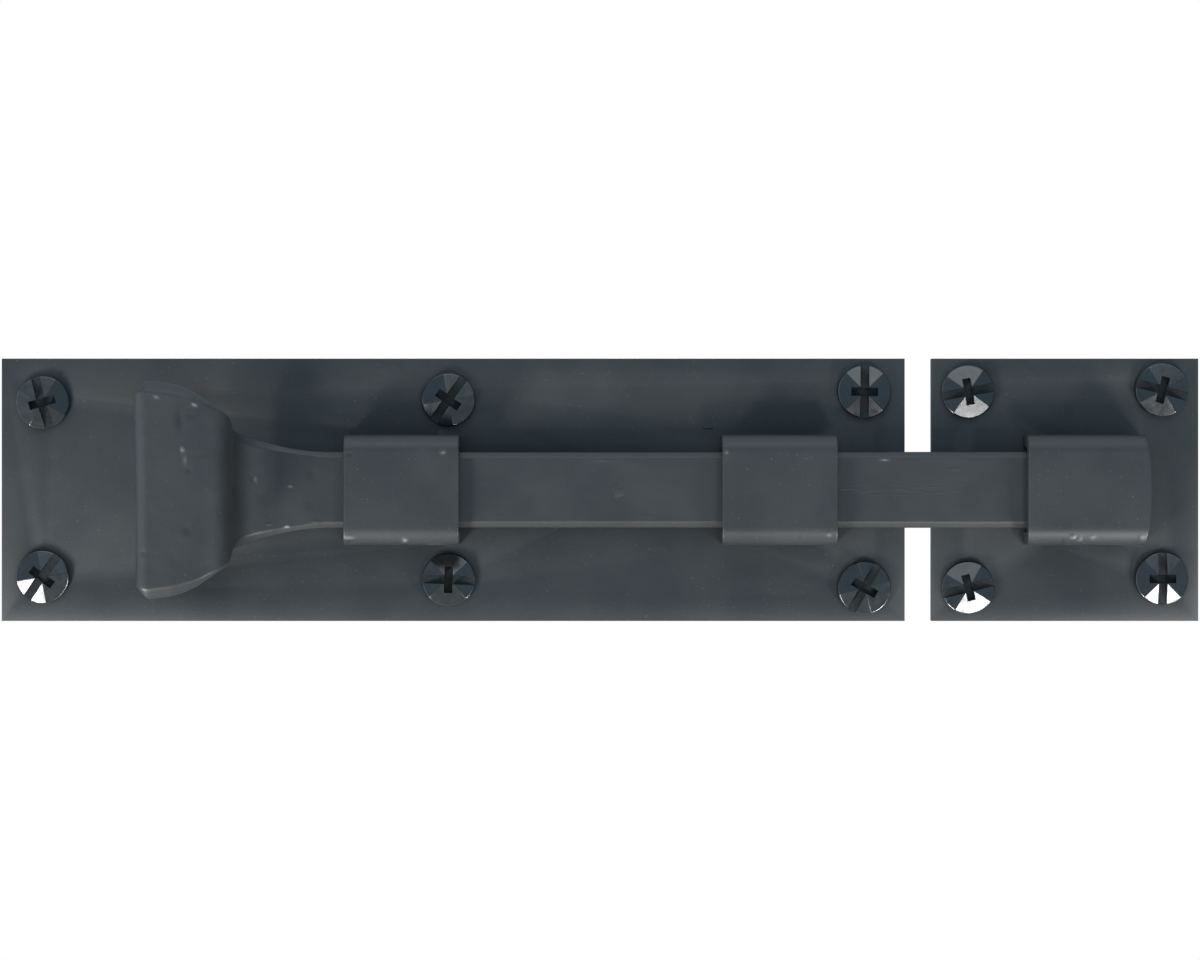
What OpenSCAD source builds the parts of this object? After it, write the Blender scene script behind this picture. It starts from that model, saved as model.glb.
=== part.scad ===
// Straight slide bolt for a door, with its keep.
// Millimetres. +X runs along the bolt towards the keep, +Z is up, and the front faces -Y.
// The origin is the middle of the backplate's back face, which lies on the door.
// The bolt is drawn shot into the keep, and it slides towards -X to open.

/* [Plates] */
// Length of the backplate, along the bolt
plate_l = 203; // [200:0.5:212]
// Height of the backplate and of the keep plate
plate_h = 59; // [57:0.5:66]
// Thickness of both plates
plate_t = 3; // [2.6:0.1:3.4]
// Length of the keep plate
keep_l = 60; // [58:0.5:66]
// Space between the two plates, where the door meets its frame
door_gap = 6; // [4:0.5:8]

/* [Staples] */
// Length of each guide, along the bolt
guide_l = 25.6; // [20:0.2:28]
// Middle of the guide beside the handle
tail_guide_x = -11.2; // [-13:0.2:-9]
// Middle of the guide beside the keep
nose_guide_x = 73; // [70:0.5:76]
// Length of the keep's staple at its middle
keep_staple_l = 27.4; // [24:0.2:29]
// How much longer the keep's staple is at its middle than at its corners
keep_bulge = 1.2; // [0.6:0.1:2]
// Height of a staple over both of its legs
staple_h = 24.6; // [24.2:0.2:26]
// Thickness of the strap that the staples are bent from
strap_t = 3; // [2.6:0.1:3.1]
// How far a staple stands out from its plate
staple_rise = 11.6; // [11.6:0.1:13]
// Outer radius of a staple's shoulders
shoulder_r = 3.8; // [3.4:0.1:4.6]
// Length of the tenons that hold a staple in its plate
tenon_l = 15; // [10:0.5:18]

/* [Bolt] */
// Height of the flat bar
bar_h = 17; // [15:0.5:17.5]
// Thickness of the flat bar
bar_t = 7; // [6:0.1:7]
// Space between the bar and the plate behind it
bar_lift = 1.2; // [1.2:0.1:1.4]
// Bevel along the bar's front edges
bar_bevel = 1.3; // [0.6:0.1:2]
// How far the bar reaches into the keep's staple
engagement = 14; // [10:0.5:16]
// How far the bolt slides open
travel = 38; // [20:0.5:38]

/* [Handle] */
// Height of the handle across its fan
fan_h = 47.6; // [42:0.2:50]
// Height of the handle where it rises from the bar
riser_h = 30; // [27:0.2:32]
// How far the front of the handle stands from the back of the plate
handle_reach = 30.7; // [29:0.1:32]
// Thickness of the fan
fan_t = 3.6; // [3:0.1:4]
// Outer radius of the roll at the tip
lip_r = 2.9; // [1.5:0.1:2.9]

/* [Screws] */
// Diameter of a screw's head
head_d = 12; // [10:0.1:12.5]
// Thickness of the rim under the head's facets
rim_t = 1.1; // [0.8:0.1:1.6]
// Rise of the head's four facets above the rim
facet_rise = 2; // [1.4:0.1:2.4]
// Diameter of a screw's thread
thread_d = 4.2; // [3.5:0.1:4.2]
// Diameter of the plain shank in its hole
shank_d = 4.8; // [4.6:0.1:5]
// Diameter of the screw holes in the plates
hole_d = 5.2; // [5.1:0.1:5.6]
// How far a screw reaches behind its plate
screw_reach = 26; // [18:0.5:32]

/* [Hidden] */
$fn = 64;

paint = "#3b4449";
blacking = "#2a3034";
bare_steel = "#8b9093";

// Where each plate screw stands along X and Z, and how far its slot is turned from X.
PLATE_SCREWS = [
    [-92.2, 19.6, 106], [-92.2, -19.6, 54], [-1, 20.2, 55],
    [-1, -20.2, -2], [92.4, 22, 89], [92.4, -22, 60]
];
KEEP_SCREWS = [
    [115.6, 22, 10], [115.6, -22, 14], [159.2, 22.4, -15], [159.2, -20, 90]
];

keep_mouth_inset = 20.6;
keep_x = plate_l / 2 + door_gap + keep_l / 2;
keep_mouth_x = keep_x - keep_l / 2 + keep_mouth_inset;
keep_staple_x = keep_mouth_x + keep_staple_l / 2;
nose_x = keep_mouth_x + engagement;
bar_back = plate_t + bar_lift;
bar_front = bar_back + bar_t;
eps = 0.01;

// Handle, seen from above: u runs along X and v is the distance in front of the plate's back.
neck_x = -27;
handle_riser_x = -47.6;
fan_flat_x = -57.1;
tip_x = -68.6;
bend_r = 10;
riser_straight = 3;
riser_back_x = handle_riser_x - fan_t;
roll_r = handle_riser_x - fan_flat_x;
roll_v = handle_reach - roll_r;
bar_overlap = 4;
heel_r = roll_v - riser_straight - bar_back;
inner_lip_r = 0.7;
arc_steps = 12;

// Handle, seen from the front.
fan_root_x = -48;
fan_full_x = -63.6;
tip_corner_h = 4;
neck_power = 2.5;
fan_power = 0.8;

// Stop pin and friction spring, on the bar's back.
pin_r = 2;
pin_x = 36.9;
pin_slot_gap = 0.2;
pin_tip = 0.6;
spring_t = 0.4;
spring_h = 7;
spring_x0 = 5;
spring_x1 = 31;
spring_foot = 8;
spring_bow = 0.7;
rivet_x = spring_x0 + spring_foot / 2;
rivet_r = 1.2;
rivet_head_r = 2.3;
rivet_head_t = 0.6;
rivet_depth = 4;

// Screw details.
slot_w = 2.1;
slot_depth = 1.3;
cross_l = 6;
cross_depth = 2.1;
tip_l = 4;
facet_top = 0.9;

function arc(c, r, a0, a1, steps = arc_steps) =
    [for (i = [0:steps]) let (a = a0 + (a1 - a0) * i / steps) c + r * [cos(a), sin(a)]];

// Moves an outline drawn in X and Z to y = -back, and thickens it towards the front.
module slab(back, t) {
    translate([0, -back, 0]) rotate([90, 0, 0]) linear_extrude(t) children();
}

// Runs a section drawn in Y and Z along X, from x0 to x1.
module along_x(x0, x1) {
    translate([x0, 0, 0]) rotate([90, 0, 90]) linear_extrude(x1 - x0) children();
}

// A round rod along Y, from y0 to y1.
module rod_y(r, y0, y1) {
    translate([0, y1, 0]) rotate([90, 0, 0]) cylinder(r = r, h = y1 - y0);
}

module tenon_outlines(x) {
    for (s = [-1, 1]) {
        translate([x, s * (staple_h - strap_t) / 2]) square([tenon_l, strap_t], center = true);
    }
}

module screw_holes(places) {
    for (p = places) {
        translate([p[0], p[1]]) circle(d = hole_d);
    }
}

module stop_slot() {
    half = pin_r + pin_slot_gap;
    translate([pin_x - travel, -half]) square([travel, 2 * half]);
    translate([pin_x - travel, 0]) circle(r = half);
    translate([pin_x, 0]) circle(r = half);
}

// A staple's section: a strap bent over the bar, with round shoulders.
module staple_section() {
    top = -(plate_t + staple_rise);
    inner_h = staple_h - 2 * strap_t;
    inner_r = shoulder_r - strap_t;
    difference() {
        rounded_top(top, staple_h, shoulder_r);
        rounded_top(top + strap_t, inner_h, inner_r);
    }
}

// A block from the plate's front out to y = top, rounded at its two outer corners.
module rounded_top(top, h, r) {
    depth = -plate_t - top;
    translate([top + r, -h / 2]) square([depth - r + eps * (h < staple_h ? 1 : 0), h]);
    translate([top, -h / 2 + r]) square([depth, h - 2 * r]);
    for (s = [-1, 1]) {
        translate([top + r, s * (h / 2 - r)]) circle(r = r);
    }
}

module staple(x, l) {
    along_x(x - l / 2, x + l / 2) staple_section();
    slab(0, plate_t) tenon_outlines(x);
}

module backplate() {
    color(paint) slab(0, plate_t) difference() {
        square([plate_l, plate_h], center = true);
        screw_holes(PLATE_SCREWS);
        tenon_outlines(tail_guide_x);
        tenon_outlines(nose_guide_x);
        stop_slot();
    }
}

module tail_guide() {
    color(paint) staple(tail_guide_x, guide_l);
}

module nose_guide() {
    color(paint) staple(nose_guide_x, guide_l);
}

module keep_plate() {
    color(paint) slab(0, plate_t) difference() {
        translate([keep_x, 0]) square([keep_l, plate_h], center = true);
        screw_holes(KEEP_SCREWS);
        tenon_outlines(keep_staple_x);
    }
}

// The keep's staple ends in a shallow arc on the side away from the bolt.
module keep_staple() {
    half = staple_h / 2;
    end_r = (half * half + keep_bulge * keep_bulge) / (2 * keep_bulge);
    end_x = keep_staple_x + keep_staple_l / 2;
    color(paint) intersection() {
        staple(keep_staple_x, keep_staple_l);
        translate([end_x - end_r, 0, 0]) rod_y(end_r, -plate_t - staple_rise - 1, 1);
    }
}

// The bar's section, bevelled along its two front edges.
module bar_section() {
    half = bar_h / 2;
    polygon([
        [-bar_back, -half], [-bar_back, half], [-bar_front + bar_bevel, half],
        [-bar_front, half - bar_bevel], [-bar_front, -half + bar_bevel], [-bar_front + bar_bevel, -half]
    ]);
}

// Half the handle's height at x, on the neck and on the fan.
function neck_half(x) =
    bar_h / 2 + (riser_h - bar_h) / 2 * pow((neck_x - x) / (neck_x - fan_root_x), neck_power);
function fan_half(x) =
    riser_h / 2 + (fan_h - riser_h) / 2
    * pow(sin(90 * (fan_root_x - x) / (fan_root_x - fan_full_x)), fan_power);

// The upper half of the handle's outline in X and Z, from the neck to the tip.
function handle_edge() = concat(
    [for (i = [0:arc_steps]) let (x = neck_x + (fan_root_x - neck_x) * i / arc_steps) [x, neck_half(x)]],
    [for (i = [1:arc_steps]) let (x = fan_root_x + (fan_full_x - fan_root_x) * i / arc_steps) [x, fan_half(x)]],
    [for (i = [1:arc_steps]) let (a = 90 * i / arc_steps)
        [fan_full_x + (tip_x - fan_full_x) * sin(a), fan_h / 2 - tip_corner_h * (1 - cos(a))]]
);

module handle_outline() {
    edge = handle_edge();
    last = len(edge) - 1;
    polygon(concat(edge, [for (i = [last:-1:0]) [edge[i][0], -edge[i][1]]]));
}

// The handle from above: the bar bends out, rolls over to the left and ends in a round lip.
module handle_side() {
    front = concat(
        [[neck_x, bar_front]],
        arc([handle_riser_x + bend_r, bar_front + bend_r], bend_r, 270, 180),
        arc([fan_flat_x, roll_v], roll_r, 0, 90),
        arc([tip_x + lip_r, handle_reach - lip_r], lip_r, 90, 180)
    );
    back = concat(
        arc([tip_x + inner_lip_r, handle_reach - fan_t + inner_lip_r], inner_lip_r, 180, 270),
        arc([fan_flat_x, roll_v], roll_r - fan_t, 90, 0),
        arc([riser_back_x + heel_r, bar_back + heel_r], heel_r, 180, 270),
        [[neck_x, bar_back]]
    );
    polygon([for (p = concat(front, back)) [p[0], -p[1]]]);
}

module handle() {
    intersection() {
        linear_extrude(fan_h + 2, center = true) handle_side();
        slab(0, handle_reach + 1) handle_outline();
    }
}

// The bar and its handle are one forging, drilled for the pin and the rivet.
module bolt_bar() {
    color(paint) difference() {
        union() {
            along_x(neck_x - bar_overlap, nose_x) bar_section();
            handle();
        }
        translate([pin_x, 0, 0]) rod_y(pin_r, -bar_front - 1, -bar_back + 1);
        translate([rivet_x, 0, 0]) rod_y(rivet_r, -bar_back - rivet_depth, -bar_back + 1);
    }
}

// Driven flush with the bar's front, it runs in the backplate's slot and stops the bolt.
module stop_pin() {
    color(bare_steel) translate([pin_x, 0, 0]) rod_y(pin_r, -bar_front, -pin_tip);
}

// A bowed strip between the bar and the backplate, which keeps the bolt where it is put.
module friction_spring() {
    bow_l = spring_x1 - spring_x0 - spring_foot;
    function lift(t) = spring_bow * sin(180 * t);
    outer = concat([[spring_x0, bar_back]],
        [for (i = [0:arc_steps]) let (t = i / arc_steps)
            [spring_x0 + spring_foot + bow_l * t, bar_back - lift(t)]]);
    color(bare_steel) difference() {
        linear_extrude(spring_h, center = true)
            polygon(concat([for (p = outer) [p[0], -p[1]]],
                [for (i = [len(outer) - 1:-1:0]) [outer[i][0], spring_t - outer[i][1]]]));
        translate([rivet_x, 0, 0]) rod_y(rivet_r, -bar_back - 1, -plate_t);
    }
}

module spring_rivet() {
    color(bare_steel) translate([rivet_x, 0, 0]) {
        rod_y(rivet_r, -bar_back - rivet_depth, -bar_back + spring_t);
        rod_y(rivet_head_r, -bar_back + spring_t, -bar_back + spring_t + rivet_head_t);
    }
}

// A ridge along X whose two slopes meet the rim at the head's edge.
module facet_pair() {
    base = head_d / 2;
    linear_extrude(head_d + 2, center = true)
        polygon([
            [-base - eps, 0], [-base, -rim_t], [-facet_top, -rim_t - facet_rise],
            [facet_top, -rim_t - facet_rise], [base, -rim_t], [base + eps, 0]
        ]);
}

// A round head with four shallow facets, a slot right across and a short cross arm.
module screw_head() {
    difference() {
        intersection() {
            rod_y(head_d / 2, -rim_t - facet_rise, 0);
            facet_pair();
            rotate([0, 90, 0]) facet_pair();
        }
        translate([-head_d, -rim_t - facet_rise - 1, -slot_w / 2])
            cube([2 * head_d, slot_depth + 1, slot_w]);
        translate([-slot_w / 2, -rim_t - facet_rise - 1, -cross_l / 2])
            cube([slot_w, cross_depth + 1, cross_l]);
    }
}

// A wood screw through its plate: place is its X, its Z and the turn of its slot.
module screw(place) {
    color(blacking) translate([place[0], 0, place[1]]) {
        translate([0, -plate_t, 0]) rotate([0, -place[2], 0]) screw_head();
        rod_y(shank_d / 2, -plate_t, 0);
        rod_y(thread_d / 2, 0, screw_reach - tip_l);
        translate([0, screw_reach - tip_l, 0]) rotate([-90, 0, 0])
            cylinder(r1 = thread_d / 2, r2 = thread_d / 20, h = tip_l);
    }
}

backplate();
tail_guide();
nose_guide();
for (i = [0:len(PLATE_SCREWS) - 1])
    screw(PLATE_SCREWS[i]);
bolt_bar();
stop_pin();
friction_spring();
spring_rivet();
keep_plate();
keep_staple();
for (i = [0:len(KEEP_SCREWS) - 1])
    screw(KEEP_SCREWS[i]);
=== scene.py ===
import math

import bmesh
import bpy
from mathutils import Matrix, Vector, noise


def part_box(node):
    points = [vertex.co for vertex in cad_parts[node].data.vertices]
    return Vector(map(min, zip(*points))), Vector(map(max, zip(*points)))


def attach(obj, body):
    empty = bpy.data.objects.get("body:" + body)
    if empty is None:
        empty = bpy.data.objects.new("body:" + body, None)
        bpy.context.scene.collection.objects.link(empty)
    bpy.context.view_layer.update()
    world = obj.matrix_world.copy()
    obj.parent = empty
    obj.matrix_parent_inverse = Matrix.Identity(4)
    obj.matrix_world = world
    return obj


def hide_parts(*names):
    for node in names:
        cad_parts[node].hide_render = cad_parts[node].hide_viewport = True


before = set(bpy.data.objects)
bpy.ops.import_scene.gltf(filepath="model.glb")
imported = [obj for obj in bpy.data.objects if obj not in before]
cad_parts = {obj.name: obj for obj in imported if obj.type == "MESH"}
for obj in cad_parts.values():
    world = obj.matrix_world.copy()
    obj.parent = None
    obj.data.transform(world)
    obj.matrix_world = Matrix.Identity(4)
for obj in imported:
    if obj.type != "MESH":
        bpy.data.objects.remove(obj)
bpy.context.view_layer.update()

# A blacksmith-style straight door bolt and its keep. Metres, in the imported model's frame:
# +X along the bolt towards the keep, +Z up, and the front faces -Y.
MM = 0.001

# Places and sizes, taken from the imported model.
PLATE_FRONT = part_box("backplate")[0].y
NOSE_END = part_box("bolt_bar")[1].x
STRAP = 3 * MM
SHOULDER = 3.8 * MM
# Marks on a strap start this far in front of the plate, clear of the feet.
MARKS_START = 3 * MM


# ---------------------------------------------------------------- mesh helpers

def finish_mesh(obj, sharp_deg=38):
    """Smooth shading that keeps edges sharper than sharp_deg crisp."""
    obj.data.shade_smooth()
    obj.data.set_sharp_from_angle(angle=math.radians(sharp_deg))
    return obj


def add_object(name, data):
    """A new object in the scene, with its origin at the world's."""
    obj = bpy.data.objects.new(name, data)
    bpy.context.scene.collection.objects.link(obj)
    return obj


def from_bmesh(name, bm):
    """An object from bm, with close points merged and its faces turned outwards. Frees bm."""
    bmesh.ops.remove_doubles(bm, verts=bm.verts, dist=1e-7)
    bmesh.ops.recalc_face_normals(bm, faces=bm.faces)
    mesh = bpy.data.meshes.new(name)
    bm.to_mesh(mesh)
    bm.free()
    return add_object(name, mesh)


def bake_modifiers(obj):
    """Turns the object with its modifiers into a plain mesh on the same object."""
    graph = bpy.context.evaluated_depsgraph_get()
    mesh = bpy.data.meshes.new_from_object(obj.evaluated_get(graph), depsgraph=graph)
    obj.modifiers.clear()
    obj.data = mesh
    return obj


def bevel(obj, width, segments=3, angle_deg=40):
    """Rounds the edges that are sharper than angle_deg, in segments steps."""
    modifier = obj.modifiers.new("edge", "BEVEL")
    modifier.width = width
    modifier.segments = segments
    modifier.limit_method = "ANGLE"
    modifier.angle_limit = math.radians(angle_deg)
    modifier.harden_normals = False
    return bake_modifiers(obj)


def crisp(obj, sharp_deg=38):
    """Smooth shading whose normals follow the large faces, so that flats look flat beside narrow bevels."""
    finish_mesh(obj, sharp_deg)
    modifier = obj.modifiers.new("normals", "WEIGHTED_NORMAL")
    modifier.keep_sharp = True
    modifier.weight = 90
    return bake_modifiers(obj)


def copy_of_node(node, name):
    """A merged copy of a CAD node's mesh, with its flat faces joined up."""
    bm = bmesh.new()
    bm.from_mesh(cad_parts[node].data)
    bmesh.ops.remove_doubles(bm, verts=bm.verts, dist=2e-6)
    bmesh.ops.dissolve_limit(bm, angle_limit=math.radians(0.5), verts=bm.verts, edges=bm.edges)
    return from_bmesh(name, bm)


def smooth_step(t):
    """0 below 0 and 1 above 1, with a soft change between."""
    t = min(max(t, 0.0), 1.0)
    return t * t * (3 - 2 * t)


def between(keys, s):
    """Values at s from rows of (s, value, ...), eased with a smooth curve through the rows."""
    if s <= keys[0][0]:
        return keys[0][1:]
    for i in range(len(keys) - 1):
        a, b = keys[i], keys[i + 1]
        if s <= b[0]:
            before = keys[max(i - 1, 0)]
            after = keys[min(i + 2, len(keys) - 1)]
            span = b[0] - a[0]
            t = (s - a[0]) / span
            values = []
            for k in range(1, len(a)):
                m0 = (b[k] - before[k]) / max(b[0] - before[0], 1e-9) * span
                m1 = (after[k] - a[k]) / max(after[0] - a[0], 1e-9) * span
                values.append((2 * t**3 - 3 * t**2 + 1) * a[k] + (t**3 - 2 * t**2 + t) * m0
                              + (3 * t**2 - 2 * t**3) * b[k] + (t**3 - t**2) * m1)
            return tuple(values)
    return keys[-1][1:]


# A spot fades at this rate and is cut off at this many half sizes from its middle.
SPOT_FADE = 1.4
SPOT_END = 2


def spots(x, z, rows):
    """The strongest spot at x, z. Each row is the middle's x and z, two half sizes and the strength."""
    best = 0.0
    for cx, cz, rx, rz, strength in rows:
        d = ((x - cx) / rx) ** 2 + ((z - cz) / rz) ** 2
        if d < SPOT_END**2:
            best = max(best, strength * math.exp(-d * SPOT_FADE))
    return best


def skin(bm, rings):
    """Quads between neighbouring rings of points, and a cap on each end."""
    made = [[bm.verts.new(p) for p in ring] for ring in rings]
    count = len(made[0])
    for a, b in zip(made, made[1:]):
        for j in range(count):
            k = (j + 1) % count
            bm.faces.new((a[j], a[k], b[k], b[j]))
    bm.faces.new(made[0])
    bm.faces.new(list(reversed(made[-1])))


def box_mesh(bm, size, place):
    bmesh.ops.create_cube(bm, size=1, matrix=Matrix.Translation(place) @ Matrix.Diagonal((*size, 1)))


# ---------------------------------------------------------------- materials

class Finish:
    """A procedural material under construction: its nodes, its shader and one object-space coordinate."""

    def __init__(self, name):
        self.material = bpy.data.materials.new(name)
        self.material.use_nodes = True
        self.tree = self.material.node_tree
        self.nodes = self.tree.nodes
        self.shader = self.nodes["Principled BSDF"]
        self.place = self.nodes.new("ShaderNodeTexCoord").outputs["Object"]

    def link(self, a, b):
        self.tree.links.new(a, b)

    def noise(self, feature, detail=3.0, rough=0.55, seed=0.0, stretch=(1, 1, 1)):
        """Noise whose blobs are about feature metres across."""
        mapping = self.nodes.new("ShaderNodeMapping")
        mapping.inputs["Location"].default_value = (seed, seed * 0.37, -seed * 0.61)
        mapping.inputs["Scale"].default_value = stretch
        self.link(self.place, mapping.inputs["Vector"])
        node = self.nodes.new("ShaderNodeTexNoise")
        node.inputs["Scale"].default_value = 1 / feature
        node.inputs["Detail"].default_value = detail
        node.inputs["Roughness"].default_value = rough
        self.link(mapping.outputs["Vector"], node.inputs["Vector"])
        return node.outputs["Fac"]

    def ramp(self, value, low, high, to_low=0.0, to_high=1.0):
        """Maps value from low..high to to_low..to_high, clamped."""
        node = self.nodes.new("ShaderNodeMapRange")
        numbers = {"From Min": low, "From Max": high, "To Min": to_low, "To Max": to_high}
        for socket, number in numbers.items():
            node.inputs[socket].default_value = number
        self.link(value, node.inputs["Value"])
        return node.outputs["Result"]

    def math(self, operation, a, b):
        node = self.nodes.new("ShaderNodeMath")
        node.operation = operation
        for socket, value in zip(node.inputs, (a, b)):
            if isinstance(value, (int, float)):
                socket.default_value = value
            else:
                self.link(value, socket)
        return node.outputs[0]

    def mix(self, factor, a, b):
        """A colour between a and b. Each is a colour or another node's output."""
        node = self.nodes.new("ShaderNodeMix")
        node.data_type = "RGBA"
        self.link(factor, node.inputs["Factor"])
        for socket, value in ((node.inputs[6], a), (node.inputs[7], b)):
            if isinstance(value, tuple):
                socket.default_value = (*value, 1)
            else:
                self.link(value, socket)
        return node.outputs[2]

    def attribute(self, name):
        """The mesh's own attribute of that name."""
        node = self.nodes.new("ShaderNodeAttribute")
        node.attribute_name = name
        return node.outputs["Fac"]

    def bump(self, height, distance, under=None):
        """A normal raised by height times distance, laid over the normal called under."""
        node = self.nodes.new("ShaderNodeBump")
        node.inputs["Distance"].default_value = distance
        node.inputs["Strength"].default_value = 1.0
        self.link(height, node.inputs["Height"])
        if under is not None:
            self.link(under, node.inputs["Normal"])
        return node.outputs["Normal"]

    def done(self, colour, roughness, normal, metallic=0.0, ior=1.5):
        """Joins everything to the shader and gives the material."""
        self.link(colour, self.shader.inputs["Base Color"])
        self.link(roughness, self.shader.inputs["Roughness"])
        self.link(normal, self.shader.inputs["Normal"])
        self.shader.inputs["Metallic"].default_value = metallic
        self.shader.inputs["IOR"].default_value = ior
        return self.material


def powder_coat(name, seed, forged=0.0):
    """Satin black powder coat: fine orange peel, faint specks, lighter rubbed paint with painted highlight on
    raised marks and flecks, and painted shade in dents and sunk marks.
    """
    f = Finish(name)
    broad = f.noise(14 * MM, 2.0, seed=seed)
    peel = f.noise(0.55 * MM, 2.0, seed=seed + 3)
    grain = f.noise(0.16 * MM, 2.0, seed=seed + 5)
    speck = f.ramp(f.noise(0.4 * MM, 1.0, seed=seed + 9), 0.73, 0.78)
    colour = f.mix(f.ramp(broad, 0.35, 0.65), COAT_DEEP, COAT_PALE)
    colour = f.mix(f.math("MULTIPLY", speck, 0.25), colour, COAT_WORN_AND_HIGHLIT)
    # Rubbed paint at nicks, with painted highlight on raised marks and flecks.
    colour = f.mix(f.attribute("wear_and_highlight"), colour, COAT_WORN_AND_HIGHLIT)
    # Painted shade: a darker colour in dents and sunk marks.
    colour = f.mix(f.attribute("dent_shade"), colour, COAT_PAINTED_SHADE)
    rough = f.math("ADD", f.ramp(grain, 0.3, 0.7, 0.45, 0.52), f.ramp(broad, 0.3, 0.7, -0.02, 0.03))
    normal = f.bump(peel, 0.012 * MM)
    if forged:
        dents = f.noise(3.2 * MM, 4.0, 0.6, seed=seed + 13)
        normal = f.bump(dents, forged, under=normal)
    normal = f.bump(grain, 0.004 * MM, under=normal)
    return f.done(colour, rough, normal)


def blacked_screw(name):
    """Glossy black on a turned screw: hair-fine marks across the facets and a little dust in the recess."""
    f = Finish(name)
    haze = f.noise(1.6 * MM, 3.0, seed=31)
    hair = f.noise(0.25 * MM, 2.0, seed=33, stretch=(1, 1, 6))
    dust = f.ramp(f.noise(0.5 * MM, 4.0, 0.7, seed=35), 0.5, 0.8)
    colour = f.mix(f.math("MULTIPLY", dust, 0.4), SCREW_BLACK, SCREW_DUST)
    rough = f.math("ADD", f.ramp(haze, 0.3, 0.7, 0.1, 0.24), f.math("MULTIPLY", hair, 0.05))
    return f.done(colour, rough, f.bump(hair, 0.003 * MM), ior=1.6)


def shaded_recess_finish(name):
    """Painted shade: a darker black, with some dust, on the inside of a screw's recess."""
    f = Finish(name)
    grit = f.noise(0.2 * MM, 3.0, seed=41)
    # Painted shade: the recess is darker than the screw's own black.
    colour = f.mix(f.ramp(grit, 0.4, 0.8), RECESS_PAINTED_SHADE, SCREW_DUST)
    return f.done(colour, f.ramp(grit, 0.3, 0.7, 0.5, 0.7), f.bump(grit, 0.01 * MM), ior=1.3)


def plain_steel(name, tone, rough_low, rough_high, seed):
    """Bare or blued steel, drawn lengthwise, with a thin film of oil and dirt."""
    f = Finish(name)
    drawn = f.noise(0.12 * MM, 3.0, seed=seed, stretch=(0.15, 1, 1))
    stain = f.noise(2.2 * MM, 4.0, seed=seed + 4)
    dark = tuple(c * 0.45 for c in tone)
    colour = f.mix(f.ramp(stain, 0.4, 0.75), tone, dark)
    rough = f.ramp(drawn, 0.3, 0.7, rough_low, rough_high)
    return f.done(colour, rough, f.bump(drawn, 0.004 * MM), metallic=1.0)


COAT_DEEP = (0.009, 0.0096, 0.0104)
COAT_PALE = (0.0122, 0.013, 0.0138)
# Rubbed paint, with painted highlight on raised marks and flecks; the faint specks use it too.
COAT_WORN_AND_HIGHLIT = (0.16, 0.165, 0.165)
# Painted shade for dents and sunk marks.
COAT_PAINTED_SHADE = (0.002, 0.002, 0.0025)
# Painted shade inside the screws' recesses.
RECESS_PAINTED_SHADE = (0.004, 0.005, 0.006)
SCREW_BLACK = (0.006, 0.0065, 0.007)
SCREW_DUST = (0.03, 0.031, 0.032)

PLATE_COAT = powder_coat("satin black coat on plate", 1)
STRAP_COAT = powder_coat("satin black coat on strap", 5)
BAR_COAT = powder_coat("satin black coat on forged bar", 11, forged=0.03 * MM)
SCREW_FINISH = blacked_screw("glossy black screw")
RECESS_SHADE_FINISH = shaded_recess_finish("painted shade in screw recess")
PIN_STEEL = plain_steel("bare pin steel", (0.42, 0.42, 0.43), 0.25, 0.4, 51)
SPRING_STEEL = plain_steel("blued spring steel", (0.2, 0.22, 0.27), 0.22, 0.38, 61)


def paint_field(obj, name, weight):
    """Writes the named attribute from weight(co), a number for each point."""
    values = [weight(v.co) for v in obj.data.vertices]
    layer = obj.data.attributes.new(name, "FLOAT", "POINT")
    layer.data.foreach_set("value", values)
    return obj


def paint_marks(obj, middle, front, worn_and_highlit, shaded):
    """Rubbed spots with painted highlight, and spots of painted shade, on the faces before the depth front,
    placed from the x called middle.
    """
    for name, rows in (("wear_and_highlight", worn_and_highlit), ("dent_shade", shaded)):
        paint_field(obj, name, lambda p: spots((p.x - middle) / MM, p.z / MM, rows) if p.y < front else 0.0)
    return obj


def coat(obj, material):
    obj.data.materials.clear()
    obj.data.materials.append(material)
    return obj


def hand_in(obj, body, slot, *nodes):
    """The piece rides on its body and stands for these CAD nodes, which are hidden. slot is not used."""
    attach(obj, body)
    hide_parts(*nodes)
    return obj


# ---------------------------------------------------------------- geometry node recipes

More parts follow.
